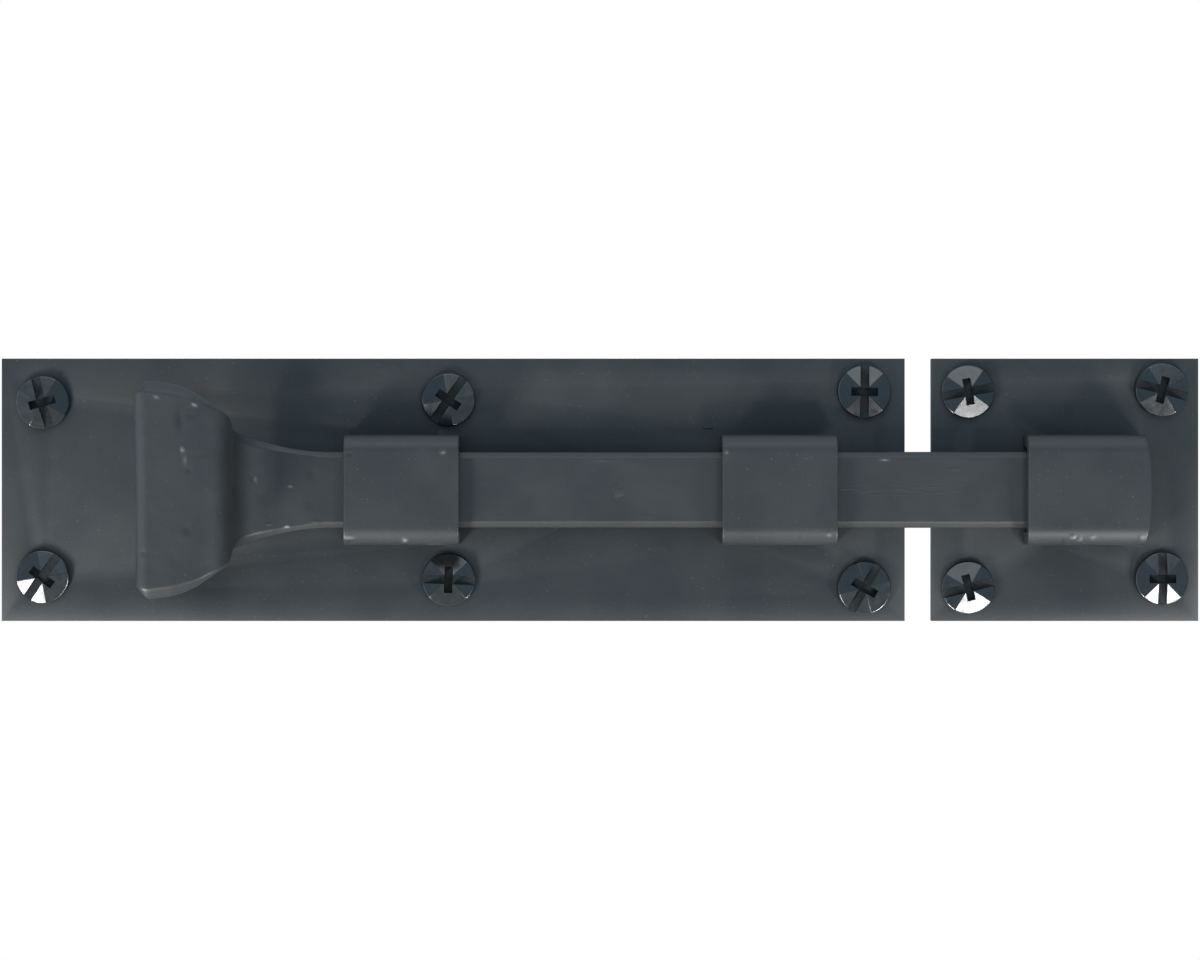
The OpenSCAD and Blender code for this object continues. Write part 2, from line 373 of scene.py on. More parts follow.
class Recipe:
    """A Geometry Nodes tree under construction, with named inputs and one geometry output."""

    def __init__(self, name):
        self.tree = bpy.data.node_groups.new(name, "GeometryNodeTree")
        self.tree.is_modifier = True
        self.sockets = {}
        self.given("Geometry", "NodeSocketGeometry")
        self.tree.interface.new_socket("Geometry", in_out="OUTPUT", socket_type="NodeSocketGeometry")
        self.source = self.tree.nodes.new("NodeGroupInput")

    def given(self, name, kind):
        self.sockets[name] = self.tree.interface.new_socket(name, in_out="INPUT", socket_type=kind)

    def add(self, kind, settings=(), **inputs):
        """A node with its properties and its inputs: i0, i1 and so on, or names. A socket is linked from."""
        node = self.tree.nodes.new(kind)
        for key, value in dict(settings).items():
            setattr(node, key, value)
        for key, value in inputs.items():
            by_number = key[0] == "i" and key[1:].isdigit()
            socket = node.inputs[int(key[1:])] if by_number else node.inputs[key]
            if isinstance(value, bpy.types.NodeSocket):
                self.tree.links.new(value, socket)
            else:
                socket.default_value = value
        return node

    def math(self, operation, a, b):
        return self.add("ShaderNodeMath", {"operation": operation}, i0=a, i1=b).outputs[0]

    def ramp(self, value, low, high, to_low, to_high, smooth=False):
        kind = {"interpolation_type": "SMOOTHSTEP" if smooth else "LINEAR"}
        node = self.add("ShaderNodeMapRange", kind, i0=value, i1=low, i2=high, i3=to_low, i4=to_high)
        return node.outputs[0]

    def taper(self, mesh, radius):
        """Scales the mesh about the Z axis by a radius that varies along it."""
        spot = self.add("ShaderNodeSeparateXYZ", i0=self.add("GeometryNodeInputPosition").outputs[0])
        x = self.math("MULTIPLY", spot.outputs[0], radius)
        y = self.math("MULTIPLY", spot.outputs[1], radius)
        moved = self.add("ShaderNodeCombineXYZ", i0=x, i1=y, i2=spot.outputs[2]).outputs[0]
        return self.add("GeometryNodeSetPosition", Geometry=mesh, Position=moved).outputs[0]

    def make(self, geometry, material, second=None, where=None):
        """Ends the tree: real geometry with its material, and a second one on the faces that where marks."""
        real = self.add("GeometryNodeRealizeInstances", i0=geometry).outputs[0]
        done = self.add("GeometryNodeSetMaterial", Geometry=real, Material=material).outputs[0]
        if second is not None:
            marked = self.add("GeometryNodeInputNamedAttribute", {"data_type": "BOOLEAN"}, Name=where)
            done = self.add("GeometryNodeSetMaterial", Geometry=done, Selection=marked.outputs[0],
                            Material=second).outputs[0]
        out = self.tree.nodes.new("NodeGroupOutput")
        self.tree.links.new(done, out.inputs[0])
        return self

    def run(self, obj, **values):
        """Applies the tree to obj. Each value goes to the input whose name it spells with underscores."""
        modifier = obj.modifiers.new(self.tree.name, "NODES")
        modifier.node_group = self.tree
        for key, value in values.items():
            modifier[self.sockets[key.replace("_", " ")].identifier] = value
        return bake_modifiers(obj)


# ---------------------------------------------------------------- plates

PLATE_EDGE = 0.45 * MM
# A paint pimple's half depth, and how far its middle is sunk into the plate.
PIMPLE_DEPTH = 0.45 * MM
PIMPLE_SUNK = 0.1 * MM
# Paint pimples on the backplate: x, z, length and height, in mm.
PIMPLES = [(57.2, 14.0, 2.7, 0.5)]


def plate_piece(node, name, pimples=()):
    """A plate with eased edges and the paint pimples on its front."""
    obj = bevel(copy_of_node(node, name), PLATE_EDGE)
    bm = bmesh.new()
    bm.from_mesh(obj.data)
    for x, z, length, height in pimples:
        place = Matrix.Translation((x * MM, PLATE_FRONT + PIMPLE_SUNK, z * MM))
        shape = Matrix.Diagonal((length / 2 * MM, PIMPLE_DEPTH, height / 2 * MM, 1))
        bmesh.ops.create_icosphere(bm, subdivisions=3, radius=1, matrix=place @ shape)
    bm.to_mesh(obj.data)
    bm.free()
    return coat(finish_mesh(obj), PLATE_COAT)


# ---------------------------------------------------------------- staples

BEND_STEPS = 14
EDGE_STEPS = 4
# The section's points stand closer together than the path's, by this factor.
SECTION_GRID = 0.4


def strap_recipe():
    """A flat strap with worn edges, bent along a path of corners, as it comes off the anvil."""
    r = Recipe("bent strap")
    for name in ("Width", "Thickness", "Shoulder Radius", "Edge Radius", "Grid", "Unevenness", "Seed"):
        r.given(name, "NodeSocketFloat")
    r.given("Finish", "NodeSocketMaterial")
    given = r.source.outputs
    path = r.add("GeometryNodeMeshToCurve", i0=given["Geometry"]).outputs[0]
    bend = r.math("SUBTRACT", given["Shoulder Radius"], r.math("MULTIPLY", given["Thickness"], 0.5))
    path = fillet(r, path, bend, BEND_STEPS)
    path = r.add("GeometryNodeResampleCurve", {"mode": "LENGTH"}, Curve=path, Length=given["Grid"]).outputs[0]
    strip = r.add("GeometryNodeCurvePrimitiveQuadrilateral", i0=given["Width"], i1=given["Thickness"])
    strip = fillet(r, strip.outputs[0], given["Edge Radius"], EDGE_STEPS)
    fine = r.math("MULTIPLY", given["Grid"], SECTION_GRID)
    strip = r.add("GeometryNodeResampleCurve", {"mode": "LENGTH"}, Curve=strip, Length=fine).outputs[0]
    strap = r.add("GeometryNodeCurveToMesh", Curve=path, i1=strip)
    strap.inputs["Fill Caps"].default_value = True
    hand = r.add("ShaderNodeTexNoise", {"noise_dimensions": "4D"}, W=given["Seed"], Scale=110.0, Detail=2.0)
    swell = r.math("MULTIPLY", r.math("SUBTRACT", hand.outputs[0], 0.5), given["Unevenness"])
    outwards = r.add("GeometryNodeInputNormal").outputs[0]
    push = r.add("ShaderNodeVectorMath", {"operation": "SCALE"}, i0=outwards, Scale=swell).outputs[0]
    uneven = r.add("GeometryNodeSetPosition", Geometry=strap.outputs[0], Offset=push).outputs[0]
    return r.make(uneven, given["Finish"])


def fillet(r, curve, radius, count):
    """Rounds the curve's corners in count steps each."""
    node = r.add("GeometryNodeFilletCurve", {"mode": "POLY"}, Curve=curve, Radius=radius, Count=count)
    return node.outputs[0]


# Marks on each strap's front: x and z from its middle, half sizes across x and z, and height, in mm.
STRAP_MARKS = {
    "tail_guide": [(0.9, -11.3, 0.6, 0.35, 0.3), (-3.6, -9.7, 0.5, 0.25, -0.2), (8.2, -9.7, 0.7, 0.25, -0.2),
                   (9.4, 8.4, 0.6, 0.3, 0.25), (-11.6, -10.6, 1.4, 0.4, 0.2), (-11.4, -11.6, 0.7, 0.3, -0.25),
                   (0.8, -9.6, 1.4, 0.2, -0.12), (-11.4, 7.8, 0.7, 0.3, -0.15)],
    "nose_guide": [(-11.9, 8.4, 0.4, 0.3, 0.2), (4.2, -10.6, 0.6, 0.25, -0.15), (-6.0, -9.8, 0.8, 0.2, -0.12),
                   (10.8, -10.2, 0.6, 0.3, 0.18)],
    "keep_staple": [(-3.8, -10.6, 0.6, 0.3, 0.28), (-2.2, -11.0, 0.5, 0.3, 0.24),
                    (0.6, -10.8, 0.8, 0.25, 0.22), (12.0, -10.8, 0.6, 0.3, 0.24),
                    (-6.1, -11.6, 0.6, 0.35, -0.25), (5.0, -9.7, 1.2, 0.2, -0.12)],
}


STRAP_SIZES = {
    "Thickness": STRAP, "Shoulder_Radius": SHOULDER, "Edge_Radius": 0.25 * MM, "Grid": 0.4 * MM,
    "Unevenness": 0.06 * MM,
}
# The tenon at a strap's foot: its width, and how much it is smaller than its hole in width and depth.
TENON = 15 * MM
TENON_EASE = 0.02 * MM
TENON_SHORT = 0.01 * MM
# A raised mark's paint is rubbed pale, with painted highlight, by this much for each mm that it stands up,
# and a sunk mark gets this much painted shade.
WORN_AND_HIGHLIT_PER_MM = 2.5
SUNK_PAINTED_SHADE = 0.9
# The keep strap's far end bows in by this much at its top and bottom.
KEEP_BULGE = 1.2 * MM


def staple_piece(node, name, recipe, seed, bulge=0.0):
    """A strap bent over the bar with its tenons through the plate. bulge rounds its far end."""
    low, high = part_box(node)
    middle = (low.x + high.x) / 2
    half = high.z - STRAP / 2
    top = low.y + STRAP / 2
    mesh = bpy.data.meshes.new(name)
    corners = [(middle, y, z * half) for y, z in ((PLATE_FRONT, -1), (top, -1), (top, 1), (PLATE_FRONT, 1))]
    mesh.from_pydata(corners, [(0, 1), (1, 2), (2, 3)], [])
    strap = recipe.run(add_object(name, mesh), Width=high.x - low.x, Seed=float(seed), Finish=STRAP_COAT,
                       **STRAP_SIZES)
    marks = STRAP_MARKS[node]
    raised = [m for m in marks if m[4] > 0]
    sunk = [(*m[:4], -m[4]) for m in marks if m[4] < 0]
    normals = [v.normal.copy() for v in strap.data.vertices]
    for v, normal in zip(strap.data.vertices, normals):
        x, z = (v.co.x - middle) / MM, v.co.z / MM
        if PLATE_FRONT - v.co.y > MARKS_START and normal.y < -0.3:
            v.co += normal * (spots(x, z, raised) - spots(x, z, sunk)) * MM
        v.co.x -= bulge * (v.co.z / high.z) ** 2 * smooth_step((v.co.x - middle) / (high.x - middle))
    bm = bmesh.new()
    bm.from_mesh(strap.data)
    for side in (-1, 1):
        centre = Vector((middle, PLATE_FRONT / 2, side * half))
        box_mesh(bm, (TENON - TENON_EASE, -PLATE_FRONT - TENON_SHORT, STRAP - TENON_EASE), centre)
    bm.to_mesh(strap.data)
    bm.free()
    # Rubbed paint with painted highlight on each raised mark.
    highlit_marks = [(*m[:4], m[4] * WORN_AND_HIGHLIT_PER_MM) for m in raised]
    # Painted shade over each sunk mark.
    dark = [(*m[:4], SUNK_PAINTED_SHADE) for m in sunk]
    return paint_marks(coat(crisp(strap, 45), STRAP_COAT), middle, PLATE_FRONT - MARKS_START, highlit_marks, dark)


# ---------------------------------------------------------------- bolt

# The forging's front line, seen from above: distances in mm, u along X and v in front of the door.
BAR_FRONT = 11.2
NECK_X = -27
BEND_R = 10
ROLL_R = 9.5
REACH = 30.7
LIP_R = 2.9
TIP_X = -68.6
RISER_X = -48.1
NOSE_X = NOSE_END / MM

# Along the forging from the neck: distance, half height, thickness and front bevel, in mm.
FORGING = [
    (-170.0, 8.5, 7.0, 1.3),
    (0.0, 8.5, 7.0, 1.3),
    (7.4, 9.05, 6.8, 1.0),
    (12.3, 10.1, 6.2, 1.3),
    (17.4, 11.8, 5.4, 2.0),
    (22.5, 13.8, 4.6, 2.5),
    (26.8, 16.2, 4.0, 1.7),
    (33.0, 18.0, 3.8, 0.9),
    (36.1, 19.6, 3.7, 1.3),
    (38.8, 21.1, 3.6, 1.7),
    (43.7, 22.9, 3.5, 2.1),
    (48.0, 23.65, 3.2, 2.2),
    (50.4, 23.8, 2.7, 2.0),
    (54.4, 23.8, 2.2, 1.1),
]
LENGTH = FORGING[-1][0]
# The fan's two corners at the tip are quarter ellipses: their size along X and up, in mm.
CORNER_L = 3.7
CORNER_H = 2.5


def forging_point(s):
    """The front line at distance s: (u, v, direction of travel)."""
    flat_end = RISER_X + BEND_R
    bend_s = NECK_X - flat_end
    roll_s = bend_s + BEND_R * math.pi / 2
    top_s = roll_s + ROLL_R * math.pi / 2
    roll_u = RISER_X - ROLL_R
    lip_s = top_s + roll_u - (TIP_X + LIP_R)
    if s <= bend_s:
        return NECK_X - s, BAR_FRONT, (-1.0, 0.0)
    if s <= roll_s:
        a = (s - bend_s) / BEND_R
        return (flat_end - BEND_R * math.sin(a), BAR_FRONT + BEND_R * (1 - math.cos(a)),
                (-math.cos(a), math.sin(a)))
    if s <= top_s:
        a = (s - roll_s) / ROLL_R
        return (roll_u + ROLL_R * math.cos(a), REACH - ROLL_R + ROLL_R * math.sin(a),
                (-math.sin(a), math.cos(a)))
    if s <= lip_s:
        return roll_u - (s - top_s), REACH, (-1.0, 0.0)
    a = (s - lip_s) / LIP_R
    return (TIP_X + LIP_R - LIP_R * math.sin(a), REACH - LIP_R + LIP_R * math.cos(a),
            (-math.cos(a), -math.sin(a)))


# The section's small rounds in mm: where the flat meets the bevel, the side's front edge and its back edge.
CREASE = 0.15
EDGE = 0.28
BACK = 0.5
# The bevel goes this much back for each mm that it goes out.
BEVEL_DEPTH = 0.8
FRONT_STEPS = 84
BACK_STEPS = 18


def forging_ring(half, thick, slope):
    """The section: (height, depth) pairs round a bar with bevelled front edges, in mm."""
    deep = slope * BEVEL_DEPTH
    flat = half - slope
    ring = [(-flat + CREASE + 2 * (flat - CREASE) * i / FRONT_STEPS, 0.0) for i in range(FRONT_STEPS + 1)]
    side = [
        (flat + CREASE * 0.5, CREASE * 0.3), (flat + slope * 0.3, deep * 0.26),
        (flat + slope * 0.62, deep * 0.6), (half - EDGE * 0.75, deep - EDGE * 0.7),
        (half - EDGE * 0.3, deep - EDGE * 0.15), (half, deep + EDGE * 0.5),
        (half, thick - BACK - 0.2), (half - 0.06, thick - BACK * 0.6),
        (half - BACK * 0.4, thick - 0.1), (half - BACK, thick),
    ]
    ring += side
    ring += [(half - BACK - 2 * (half - BACK) * i / BACK_STEPS, thick) for i in range(1, BACK_STEPS)]
    ring += [(-h, d) for h, d in reversed(side)]
    return ring


# Hollows left by the hammer: x, z, half sizes across x and z, and depth, all in mm.
DENTS = [
    (-58.6, 15.2, 0.9, 2.6, 0.16), (-57.0, -8.7, 1.0, 1.1, 0.16), (-56.8, 4.4, 0.5, 0.5, 0.2),
    (-56.2, 16.2, 1.1, 0.5, 0.12), (-55.0, 19.0, 0.4, 1.5, 0.14), (-54.6, 7.6, 1.6, 0.3, 0.06),
    (-60.0, -14.0, 1.6, 2.6, 0.07), (-63.2, 3.0, 1.8, 4.0, 0.05), (-66.6, -13.6, 0.7, 0.5, 0.12),
    (-44.3, 2.8, 0.3, 0.9, 0.12), (-31.0, 3.5, 0.9, 1.5, 0.06), (-31.8, -3.0, 1.2, 1.6, 0.06),
    (-42.0, -1.5, 1.8, 2.4, 0.05), (36.9, 0.0, 0.35, 0.35, 0.06),
]
# Flecks of scale standing up under the paint: x, z, half sizes and height, in mm.
FLECKS = [
    (-58.0, 8.8, 0.35, 0.6, 0.2), (-57.5, 6.4, 0.22, 1.1, 0.16), (-55.4, 18.6, 0.7, 0.35, 0.2),
    (-63.6, 20.4, 0.6, 0.28, 0.16), (-53.6, 6.9, 0.9, 0.2, 0.1), (-54.6, -7.4, 0.4, 1.2, 0.1),
    (-43.6, 2.5, 0.25, 0.7, 0.16), (-36.0, 0.8, 0.45, 0.3, 0.16), (-36.7, -8.2, 0.6, 0.3, 0.26),
    (-40.8, -7.6, 0.5, 0.3, 0.16), (-30.6, -7.0, 1.0, 0.22, 0.1), (33.2, 6.6, 1.4, 0.25, 0.12),
    (96.4, 6.7, 1.0, 0.25, 0.14), (112.0, 4.6, 0.7, 0.3, 0.12), (44.0, -5.8, 0.5, 0.25, 0.1),
]
# Painted shade in the hammer's dents, and light nicks in the paint with painted highlight on the flecks of
# scale: x, z, half sizes and strength.
DENT_PAINTED_SHADE = [
    (-58.8, 15.4, 1.0, 2.8, 0.8), (-57.1, -8.8, 1.1, 1.2, 0.7), (-56.8, 4.4, 0.6, 0.6, 0.8),
    (-56.4, 16.2, 1.0, 0.5, 0.6), (-31.8, 3.2, 1.2, 1.4, 0.4), (-31.8, -3.2, 1.4, 1.8, 0.4),
    (-42.6, -1.8, 1.6, 2.6, 0.3),
]
# Painted highlight with light nicks in the paint, on the flecks of scale.
NICKS_AND_HIGHLIGHTS = [
    (-58.0, 8.8, 0.35, 0.5, 0.9), (-57.5, 6.6, 0.25, 0.9, 0.5), (-55.4, 18.6, 0.6, 0.3, 1.0),
    (-63.6, 20.4, 0.6, 0.25, 0.8), (-36.7, -8.2, 0.5, 0.28, 1.4), (-43.6, 2.5, 0.25, 0.6, 0.5),
    (-36.0, 0.8, 0.4, 0.25, 0.5), (96.4, 6.7, 0.8, 0.2, 0.6),
]
# How far the tip leans outwards at its top corner, in mm.
TIP_SKEW = 0.4
# The rounds at the tip and the nose, and how far the fan's outline waves in and out, in mm.
TIP_ROUND = 1.0
NOSE_ROUND = 0.6
OUTLINE_WAVE = 0.12
# From this distance on, a ring is on the fan.
ON_FAN = 40
# The shallow trough hammered down the middle of the fan: its x, half width and depth.
TROUGH = (-56.6, 2.6, 0.2)
# The band of scale along the bar's middle: its x, half length, z, half width and depth.
SCALE_BAND = (101, 15, -0.2, 1.5, 0.09)


def hammered(x, z, handle):
    """How far the front is moved outwards at x, z: forging waves, trough, dents and flecks, in mm."""
    place = Vector((x, z, 0))
    out = 0.06 * handle * noise.noise(place * 0.16) + 0.02 * noise.noise(place * 0.45 + Vector((7, 3, 0)))
    out += spots(x, z, FLECKS) - spots(x, z, DENTS)
    out -= TROUGH[2] * handle * math.exp(-((x - TROUGH[0]) / TROUGH[1]) ** 2)
    bx, length, bz, width, depth = SCALE_BAND
    scale_band = math.exp(-((x - bx) / length) ** 4) * math.exp(-((z - bz) / width) ** 2)
    return out + depth * scale_band * noise.noise(Vector((x * 1.1, z * 2.4, 4)))


# The distance of the bar's nose from the neck, and the steps between rings, all in mm.
NOSE_S = NECK_X - NOSE_X
NOSE_STEP = 0.3
BAR_STEP = 0.8
HANDLE_STEP = 0.42
# How far before the tip the last rings stand.
TIP_RINGS = (0.6, 0.35, 0.15, 0.04, 0)


def forging_stations():
    """Distances of the rings: close on the handle, wider along the bar, and bunched at both ends."""
    stations = [NOSE_S + NOSE_STEP * i for i in range(3)]
    s = NOSE_S + 3 * NOSE_STEP
    while s < LENGTH - 0.8:
        stations.append(s)
        s += BAR_STEP if s < -2 else HANDLE_STEP
    return stations + [LENGTH - left for left in TIP_RINGS]


def forging_piece():
    """The bar, neck and rolled fan handle, forged in one."""
    bm = bmesh.new()
    rings = []
    for s in forging_stations():
        u, v, (tu, tv) = forging_point(s)
        nu, nv = tv, -tu
        half, thick, slope = between(FORGING, s)
        into_corner = min(max((TIP_X + CORNER_L - u) / CORNER_L, 0.0), 1.0)
        half -= CORNER_H * (1 - math.sqrt(1 - into_corner**2)) if s > ON_FAN else 0.0
        # The last TIP_ROUND of the tip closes in a round, and the first NOSE_ROUND of the nose in a bevel.
        into_tip = max(1 - (LENGTH - s) / TIP_ROUND, 0.0)
        trim = 1.0 - math.sqrt(max(1 - into_tip**2, 0))
        nose = max(0.0, NOSE_ROUND - (s - NOSE_S))
        half -= nose
        half += OUTLINE_WAVE * smooth_step((s - 24) / 8) * noise.noise(Vector((s * 0.22, 5, 1)))
        handle = smooth_step((s + 6) / 20)
        ring = []
        for h, d in forging_ring(half, thick, slope):
            depth = d + (thick / 2 - d) * min(trim, 0.85)
            depth += nose * (1 - 2 * d / thick) * 0.8
            out = -depth
            if d < thick * 0.6:
                out += hammered(u, h, handle) * (1 - trim)
            askew = TIP_SKEW * smooth_step((s - 46) / 6) * max(h, 0) / half
            ring.append(((u + nu * out - askew) * MM, -(v + nv * out) * MM, h * MM))
        rings.append(ring)
    skin(bm, rings)
    obj = coat(crisp(from_bmesh("bolt_forging", bm), 50), BAR_COAT)
    # Light nicks with painted highlight on the flecks, and painted shade in the dents.
    return paint_marks(obj, 0, -BAR_FRONT * 0.5 * MM, NICKS_AND_HIGHLIGHTS, DENT_PAINTED_SHADE)


# ---------------------------------------------------------------- screws

# The head in mm: radius, height of the rim, rise from the rim to the middle, and its recess.
HEAD_R = 6.0
RIM = 1.1
RISE = 2.0
SLOT_W = 2.0
CROSS_W = 1.9
CROSS_L = 6.0
# The recess floors' heights over the plate, and the size of a cutter where it only has to reach through.
SLOT_FLOOR = 1.05
CROSS_FLOOR = 0.5
THROUGH = (30, 10)
# The shank and thread behind the head.
SCREW_SIZES = {
    "Length": 29 * MM, "Shank_Radius": 2.35 * MM, "Shank_Length": 7 * MM, "Crest_Radius": 2.1 * MM,
    "Core_Radius": 1.5 * MM, "Tip_Length": 6 * MM, "Pitch": 1.9 * MM,
}


def screw_head():
    """A round head cut to four shallow facets, with its slot and cross arm. Its front faces -Z."""
    bm = bmesh.new()
    tall = RIM + RISE
    bmesh.ops.create_cone(bm, cap_ends=True, segments=72, radius1=HEAD_R * MM, radius2=HEAD_R * MM,
                          depth=tall * MM, matrix=Matrix.Translation((0, 0, -tall / 2 * MM)))
    for k in range(4):
        a = math.radians(90 * k)
        side = Vector((math.cos(a), math.sin(a), 0))
        normal = side * RISE + Vector((0, 0, -HEAD_R))
        point = side * HEAD_R * MM + Vector((0, 0, -RIM * MM))
        geom = bm.verts[:] + bm.edges[:] + bm.faces[:]
        cut = bmesh.ops.bisect_plane(bm, geom=geom, plane_co=point, plane_no=normal, clear_outer=True)
        edges = [e for e in cut["geom_cut"] if isinstance(e, bmesh.types.BMEdge)]
        bmesh.ops.contextual_create(bm, geom=edges)
    head = from_bmesh("screw head blank", bm)
    head = bevel(head, 0.34 * MM, 3, 50)
    head = bevel(head, 0.1 * MM, 2, 20)
    slot = recess_tool("slot tool", (THROUGH[0], SLOT_W, THROUGH[1]), SLOT_FLOOR)
    cross = recess_tool("cross tool", (CROSS_W, CROSS_L, THROUGH[1]), CROSS_FLOOR)
    for cutter in (slot, cross):
        modifier = head.modifiers.new("recess", "BOOLEAN")
        modifier.operation = "DIFFERENCE"
        modifier.solver = "EXACT"
        modifier.object = cutter
    head = bake_modifiers(head)
    for cutter in (slot, cross):
        bpy.data.objects.remove(cutter)
    head = bevel(head, 0.12 * MM, 2, 30)
    inside = [in_recess(face.center / MM) for face in head.data.polygons]
    head.data.attributes.new("recess", "BOOLEAN", "FACE").data.foreach_set("value", inside)
    return head


def recess_tool(name, size, floor):
    """A box that cuts down to floor, a height over the plate, in mm."""
    tool = bmesh.new()
    box_mesh(tool, [length * MM for length in size], (0, 0, -(floor + size[2] / 2) * MM))
    return from_bmesh(name, tool)


def in_recess(p):
    """True for a point on the slot's or the cross arm's floor and walls, in mm."""
    in_slot = abs(p.y) < SLOT_W / 2 + 0.02 and abs(p.x) < HEAD_R - 0.05
    in_arm = abs(p.x) < CROSS_W / 2 + 0.02 and abs(p.y) < CROSS_L / 2 + 0.02
    return (in_slot or in_arm) and p.z < -0.3


ROD_SIDES = 28
ROD_RINGS = 56
THREAD_STEPS = 30
# How much of the core is left at the point.
POINT = 0.06


def screw_recipe():
    """Screws on points: the given head, a plain shank, a tapered core and a helical thread."""
    r = Recipe("wood screws")
    for name in SCREW_SIZES:
        r.given(name.replace("_", " "), "NodeSocketFloat")
    r.given("Head", "NodeSocketObject")
    r.given("Finish", "NodeSocketMaterial")
    r.given("Recess Finish", "NodeSocketMaterial")
    given = r.source.outputs
    height = r.add("ShaderNodeSeparateXYZ", i0=r.add("GeometryNodeInputPosition").outputs[0]).outputs[2]
    tip_start = r.math("SUBTRACT", given["Length"], given["Tip Length"])
    run_out = r.math("ADD", given["Shank Length"], given["Pitch"])

    narrowing = r.ramp(height, tip_start, given["Length"], 1.0, POINT)
    body = r.ramp(height, given["Shank Length"], run_out, given["Shank Radius"], given["Core Radius"], True)
    rod = r.add("GeometryNodeMeshCylinder", Vertices=ROD_SIDES, i1=ROD_RINGS, Radius=1.0,
                Depth=given["Length"])
    middle = r.add("ShaderNodeCombineXYZ", i2=r.math("MULTIPLY", given["Length"], 0.5)).outputs[0]
    rod = r.add("GeometryNodeTransform", i0=rod.outputs[0], Translation=middle).outputs[0]
    rod = r.taper(rod, r.math("MULTIPLY", body, narrowing))

    threaded = r.math("SUBTRACT", given["Length"], given["Shank Length"])
    turns = r.math("DIVIDE", threaded, given["Pitch"])
    helix = r.add("GeometryNodeCurveSpiral", Resolution=THREAD_STEPS, Rotations=turns,
                  i2=given["Core Radius"], i3=given["Core Radius"], Height=threaded).outputs[0]
    helix = r.add("GeometryNodeSetCurveNormal", {"mode": "Z_UP"}, Curve=helix).outputs[0]
    crest = r.math("SUBTRACT", given["Crest Radius"], given["Core Radius"])
    ridge = r.add("GeometryNodeCurvePrimitiveQuadrilateral", i0=crest, i1=crest).outputs[0]
    ridge = r.add("GeometryNodeTransform", i0=ridge, Rotation=(0, 0, math.radians(45))).outputs[0]
    ridge = r.add("GeometryNodeTransform", i0=ridge, Scale=(1.414, 1.0, 1.0)).outputs[0]
    thread = r.add("GeometryNodeCurveToMesh", Curve=helix, i1=ridge)
    thread.inputs["Fill Caps"].default_value = True
    start = r.add("ShaderNodeCombineXYZ", i2=given["Shank Length"]).outputs[0]
    thread = r.add("GeometryNodeTransform", i0=thread.outputs[0], Translation=start).outputs[0]
    thread = r.taper(thread, narrowing)

    head = r.add("GeometryNodeObjectInfo", Object=given["Head"]).outputs["Geometry"]
    screw = r.add("GeometryNodeJoinGeometry")
    for part in (thread, rod, head):
        r.tree.links.new(part, screw.inputs[0])
    facing = r.add("GeometryNodeInputNamedAttribute", {"data_type": "FLOAT_VECTOR"}, Name="facing")
    facing = r.add("FunctionNodeEulerToRotation", i0=facing.outputs[0]).outputs[0]
    points = r.add("GeometryNodeMeshToPoints", Mesh=given["Geometry"]).outputs[0]
    row = r.add("GeometryNodeInstanceOnPoints", Points=points, Instance=screw.outputs[0],
                Rotation=facing).outputs[0]
    return r.make(row, given["Finish"], given["Recess Finish"], "recess")


# Each screw as it was driven: the turn of its slot and its lean to the right and upwards, in degrees.
PLATE_SCREWS = {
    "plate_screw_1": (106, 0.6, -0.4), "plate_screw_2": (54, 0.5, 0.8), "plate_screw_3": (55, -0.5, 0.5),
    "plate_screw_4": (-2, 0.2, 1.0), "plate_screw_5": (89, -0.6, 0.4), "plate_screw_6": (60, -1.0, 0.5),
}
KEEP_SCREWS = {
    "keep_screw_1": (10, 0.6, 0.6), "keep_screw_2": (14, 1.2, 0.8), "keep_screw_3": (-15, -0.7, 0.8),
    "keep_screw_4": (90, 0.8, -0.4),
}


def used_slots_only(obj):
    """Drops the empty material slots that joined pieces leave behind."""
    mesh = obj.data
    kept = [m for m in mesh.materials if m is not None]
    places = [kept.index(mesh.materials[f.material_index]) for f in mesh.polygons]
    mesh.materials.clear()
    for material in kept:
        mesh.materials.append(material)
    mesh.polygons.foreach_set("material_index", places)
    return obj


def screw_row(name, driven, recipe, head):
    """The screws of one body: a point for each, turned and leant as driven, and grown by the recipe."""
    mesh = bpy.data.meshes.new(name)
    points, facing = [], []
    for node, (turn, right, up) in driven.items():
        low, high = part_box(node)
        lift = HEAD_R * MM * math.sin(math.radians(max(abs(right), abs(up))))
        points.append(((low.x + high.x) / 2, PLATE_FRONT - lift, (low.z + high.z) / 2))
        facing += [math.radians(-90 - up), math.radians(-turn), math.radians(right)]
    mesh.from_pydata(points, [], [])
    mesh.attributes.new("facing", "FLOAT_VECTOR", "POINT").data.foreach_set("vector", facing)
    # The recess faces get the painted shade finish.
    row = recipe.run(add_object(name, mesh), Head=head, Finish=SCREW_FINISH, Recess_Finish=RECESS_SHADE_FINISH,
                     **SCREW_SIZES)
    return crisp(used_slots_only(row), 30)


# ---------------------------------------------------------------- small steel pieces

def steel_piece(node, name, edge, material):
    """A CAD node's shape with its edges rounded by edge."""
    return coat(finish_mesh(bevel(copy_of_node(node, name), edge, 2, 30)), material)


# The pin's faces this close behind the bar's front, or before it, are painted, in mm.
PIN_PAINTED = 0.6


def stop_pin():
    """The driven pin: its end flush in the bar is under the paint."""
    pin = steel_piece("stop_pin", "stop_pin_steel", 0.3 * MM, PIN_STEEL)
    pin.data.materials.append(BAR_COAT)
    for face in pin.data.polygons:
        if face.center.y < -(BAR_FRONT - PIN_PAINTED) * MM:
            face.material_index = 1
    return pin


# ---------------------------------------------------------------- studio

# The camera looks square on to the plates, a little right of the backplate's middle.
CAMERA_PLACE = (0.0330, -0.900, 0.0022)
CAMERA_TARGET = (0.0330, 0, 0.0022)
CAMERA_LENS = 119.7
CAMERA_SENSOR = 36
